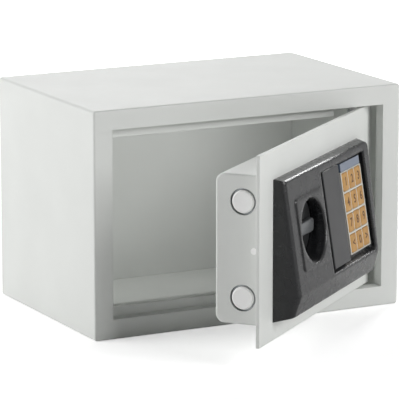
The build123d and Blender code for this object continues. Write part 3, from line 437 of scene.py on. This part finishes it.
def figure_mesh(name, text, u0, v0):
    """A figure from the built-in font, flattened to a thin plate just above the key's crown."""
    curve = bpy.data.curves.new(name, "FONT")
    curve.body, curve.size = text, FIGURE_SIZE_MM
    curve.extrude, curve.offset = FIGURE_RAISED_MM, FIGURE_BOLDER_MM
    curve.align_x, curve.align_y = "CENTER", "CENTER"
    holder = bpy.data.objects.new(name, curve)
    mesh = bpy.data.meshes.new_from_object(holder)
    bpy.data.objects.remove(holder)
    co = np.empty(len(mesh.vertices) * 3)
    mesh.vertices.foreach_get("co", co)
    x, y, z = co.reshape(-1, 3).T
    mesh.vertices.foreach_set("co", swing(on_panel(u0 + x, v0 - y, KEY_TOP_MM + z)).ravel())
    mesh.update()
    piece = bpy.data.objects.new(name, mesh)
    scene.collection.objects.link(piece)
    return piece


for row, figures in enumerate(KEY_FIGURES):
    for column, figure in enumerate(figures):
        u0 = KEYPAD_LEFT_MM + (column + 0.5) * KEY_PITCH_MM[0]
        v0 = KEYPAD_TOP_MM + (row + 0.5) * KEY_PITCH_MM[1]
        body = "keypad_key_" + figure
        key = crowned_key("keycap_" + figure, u0, v0)
        key.data.materials.append(key_gold)
        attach(key, body)
        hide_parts("key_" + figure)
        mark = figure_mesh("figure_" + figure, FIGURE_SIGNS.get(figure, figure), u0, v0)
        mark.data.materials.append(figure_ink)
        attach(mark, body)
print("keys and figures made")

# %% [markdown]
# The knob is a dark disc at the bottom of a deep well, with a silver grip bar across it. The bar is
# narrower in the middle, where finger and thumb close on it, and its top edges are rounded. The
# two pieces together stand in for the CAD's knob.

# %% Knob disc and grip bar
KNOB_X_MM, KNOB_Z_MM = -56.7, 108.61
DISC_R_MM, DISC_BACK_MM, DISC_FRONT_MM = 26.5, 2.7, 5.2
DISC_EDGE_MM, DISC_INSETS_MM = 0.8, (4.0, 12.0, 24.0)
BAR_HALF_MM, BAR_FRONT_MM, BAR_WAIST = (23.0, 7.0), 10.2, 0.17
BAR_SUNK_MM, BAR_EDGE_MM, BAR_CROWN_MM, BAR_SLOPE_MM = 0.4, 1.4, 0.3, 5.4
BAR_SQUARENESS, BAR_EDGE_STEPS = 6.0, 6
KNOB_AROUND, CIRCLE = 96, 2.0


def on_knob(u, v, h):
    """Knob's own place: u to the right, v down, h out of the door's face."""
    u, v, h = np.broadcast_arrays(np.asarray(u, float), v, h)
    return swing(np.stack([KNOB_X_MM + u, DOOR_FACE_Y_MM - h, KNOB_Z_MM - v], axis=-1))


def waisted(u, v, h):
    """Narrow the bar towards its middle: v shrinks by a share 1 - (u / half length) squared."""
    return on_knob(u, v * (1 - BAR_WAIST * (1 - (u / BAR_HALF_MM[0]) ** 2)), h)


disc_profile = [(0.0, DISC_BACK_MM)] + rounded_edge(DISC_EDGE_MM, DISC_FRONT_MM, EDGE_STEPS)
disc_profile += [(inset, DISC_FRONT_MM) for inset in DISC_INSETS_MM]
disc = lofted("knob_disc", disc_profile, DISC_R_MM, DISC_R_MM, CIRCLE, KNOB_AROUND, on_knob)
disc.data.materials.append(black_abs)
bar_profile = [(0.0, DISC_FRONT_MM - BAR_SUNK_MM)]
bar_profile += rounded_edge(BAR_EDGE_MM, BAR_FRONT_MM - BAR_CROWN_MM, BAR_EDGE_STEPS)
bar_profile += [(BAR_EDGE_MM + BAR_SLOPE_MM * (1 - s), BAR_FRONT_MM - BAR_CROWN_MM * s * s)
                for s in (0.8, 0.5, 0.2)]
bar = lofted("knob_bar", bar_profile, *BAR_HALF_MM, BAR_SQUARENESS, KNOB_AROUND, waisted)
bar.data.materials.append(knob_silver)
for piece in (disc, bar):
    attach(piece, "turn_knob")
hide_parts("knob")
print("knob made of", len(disc.data.vertices) + len(bar.data.vertices), "points")

# %% [markdown]
# The backdrop is plain. The floor is a pale matt plane that catches the safe's soft shadow. Its
# glow reaches the camera only, and rises with the distance, so that the floor meets the world
# without a grey band. The world is white to the camera, dimmer in reflections and gives no light
# of its own: the pale paint then keeps its tone. The light comes from soft lamps at the left rear,
# the front right and the rear, and the narrow one at the right rear draws the bright line along
# the dark panel's upper edge. A small lamp under the ceiling lifts the inside.

# %% Floor, world and soft lights
# Lengths are in metres, and a lamp's row reads name, place, target, size, watts and spread.
FLOOR_HALF, FLOOR_LEVEL = 6.0, -0.0003
FLOOR_GLOW, FADE_FROM, FADE_TO = 0.5, 0.5, 2.0
WORLD_LIGHT, WORLD_SEEN, WORLD_GLOSS = 0.0, 1.0, 0.6

floor_mesh = bpy.data.meshes.new("studio_floor")
floor_mesh.from_pydata([(x * FLOOR_HALF, y * FLOOR_HALF, FLOOR_LEVEL)
                        for x, y in ((-1, -1), (1, -1), (1, 1), (-1, 1))], [], [(0, 1, 2, 3)])
floor = bpy.data.objects.new("studio_floor", floor_mesh)
scene.collection.objects.link(floor)
floor_paint, tree, shader = finish_of("matt_white_floor", "#F7F7F7", Roughness=0.9)
path = add(tree, "ShaderNodeLightPath")
where = add(tree, "ShaderNodeTexCoord")
reach = add(tree, "ShaderNodeVectorMath", links={"Vector": where.outputs["Object"]},
            operation="LENGTH")
fade = add(tree, "ShaderNodeMapRange", {"From Min": FADE_FROM, "From Max": FADE_TO,
                                        "To Min": FLOOR_GLOW, "To Max": 1.0},
           {"Value": reach.outputs["Value"]})
glow = add(tree, "ShaderNodeMath", operation="MULTIPLY")
tree.links.new(path.outputs["Is Camera Ray"], glow.inputs[0])
tree.links.new(fade.outputs["Result"], glow.inputs[1])
shader.inputs["Emission Color"].default_value = (1, 1, 1, 1)
tree.links.new(glow.outputs[0], shader.inputs["Emission Strength"])
floor.data.materials.append(floor_paint)

world = bpy.data.worlds.new("studio_world")
scene.world = world
world.use_nodes = True
tree = world.node_tree
tree.nodes.clear()
path = add(tree, "ShaderNodeLightPath")
gloss = add(tree, "ShaderNodeMapRange", {"To Min": WORLD_LIGHT, "To Max": WORLD_GLOSS},
            {"Value": path.outputs["Is Glossy Ray"]})
strength = add(tree, "ShaderNodeMapRange", {"To Max": WORLD_SEEN},
               {"Value": path.outputs["Is Camera Ray"], "To Min": gloss.outputs["Result"]})
sky = add(tree, "ShaderNodeBackground", {"Color": (1, 1, 1, 1)},
          {"Strength": strength.outputs["Result"]})
add(tree, "ShaderNodeOutputWorld", links={"Surface": sky.outputs["Background"]})


def softbox(name, place, target, size, watts, spread=180):
    """A rectangular area light at a place, turned towards a target, with its spread in degrees."""
    data = bpy.data.lights.new(name, "AREA")
    data.shape, data.energy = "RECTANGLE", watts
    data.size, data.size_y = size
    lamp = bpy.data.objects.new(name, data)
    scene.collection.objects.link(lamp)
    lamp.rotation_mode = "QUATERNION"
    lamp.rotation_quaternion = (Vector(target) - Vector(place)).to_track_quat("-Z", "Y")
    lamp.location = place
    lamp.visible_camera = False
    data.spread = math.radians(spread)


SAFE_MIDDLE, DOOR_MIDDLE = (0, 0, 0.1), (0.05, -0.15, 0.15)
SOFTBOXES = (
    ("softbox_left_rear", (-2.4, 0.9, 0.9), SAFE_MIDDLE, (1.6, 1.6), 53),
    ("softbox_front_right", (1.4, -2.4, 1.3), SAFE_MIDDLE, (1.4, 1.4), 55),
    ("softbox_right_rear", (1.9, 1.5, 1.25), DOOR_MIDDLE, (0.55, 0.9), 28),
    ("softbox_rim", (0.5, 2.2, 1.6), SAFE_MIDDLE, (1.6, 1.6), 24),
    ("inside_lamp", (0.01, -0.05, 0.178), (-0.03, 0.095, 0.07), (0.2, 0.03), 0.075, 130),
)
for settings in SOFTBOXES:
    softbox(*settings)
scene.view_settings.view_transform = "Standard"
print("studio ready")
